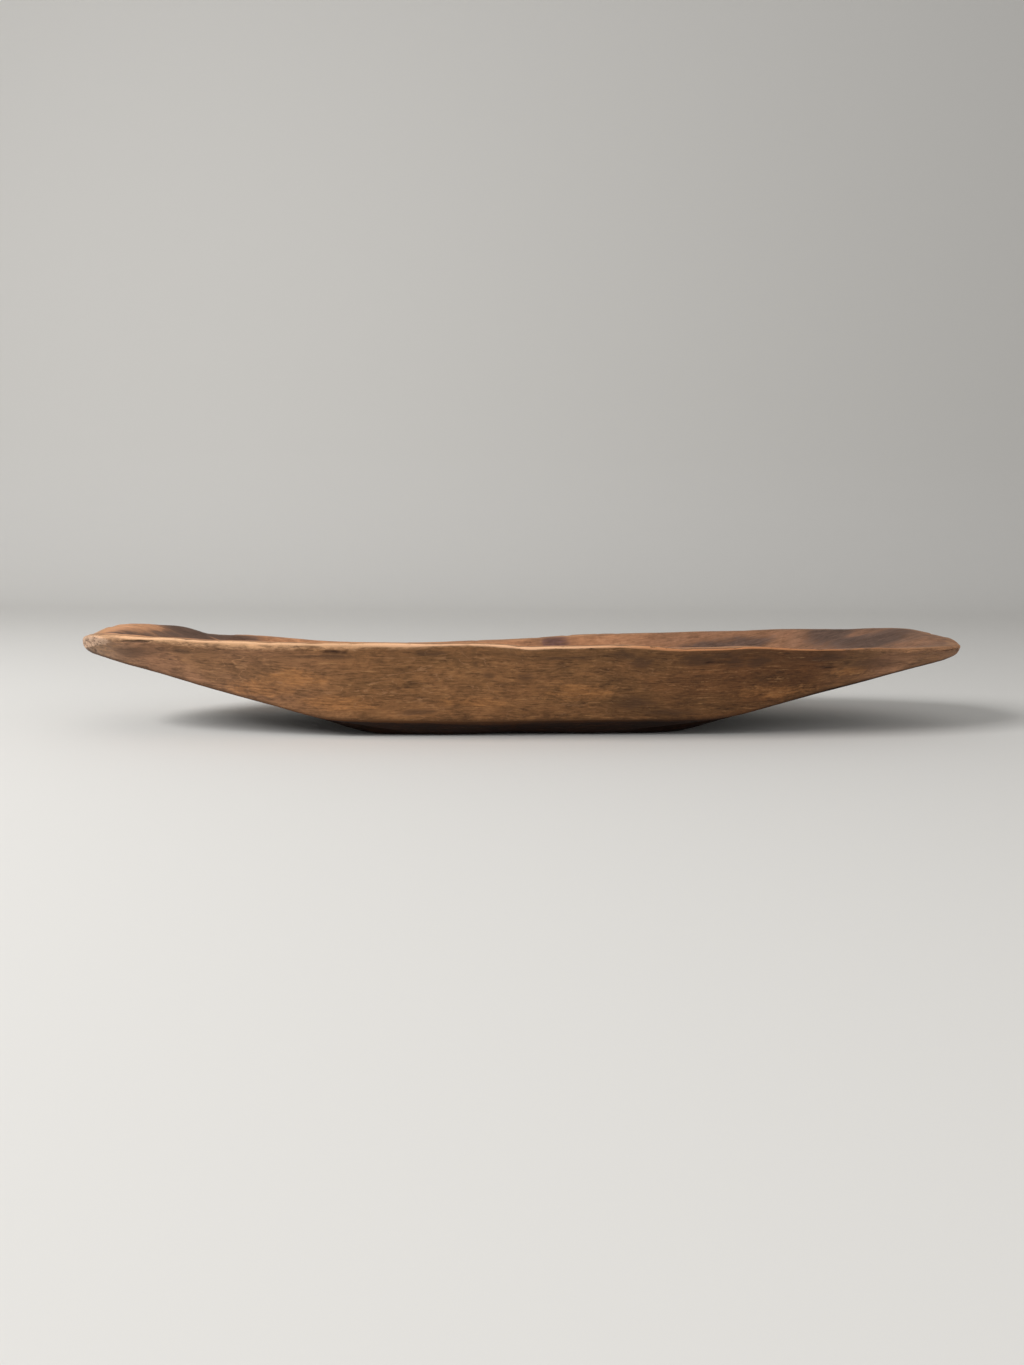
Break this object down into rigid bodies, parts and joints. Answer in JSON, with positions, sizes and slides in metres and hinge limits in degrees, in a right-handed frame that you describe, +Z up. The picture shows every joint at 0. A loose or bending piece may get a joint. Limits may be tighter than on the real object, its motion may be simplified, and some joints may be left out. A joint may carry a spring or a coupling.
{
  "type": "dough bowl",
  "caption": "Long shallow bowl carved from one piece of hardwood, with tapering blunt-nosed ends, a small flat base and an uneven worn rim.",
  "frame": {"origin": "on the surface that the bowl stands on, under the middle of its overall length and width", "axes": "+X along the bowl towards its plainer end, +Y across it towards the side whose rim dips, +Z up"},
  "size_m": [0.6996, 0.2198, 0.074],
  "materials": {
    "old_wood": "old brown hardwood, hand-hewn, oiled and worn to a dull sheen, with dark stains inside and a lighter worn rim"
  },
  "bodies": {
    "root": {"bowl": "old_wood"}
  },
  "joints": []
}
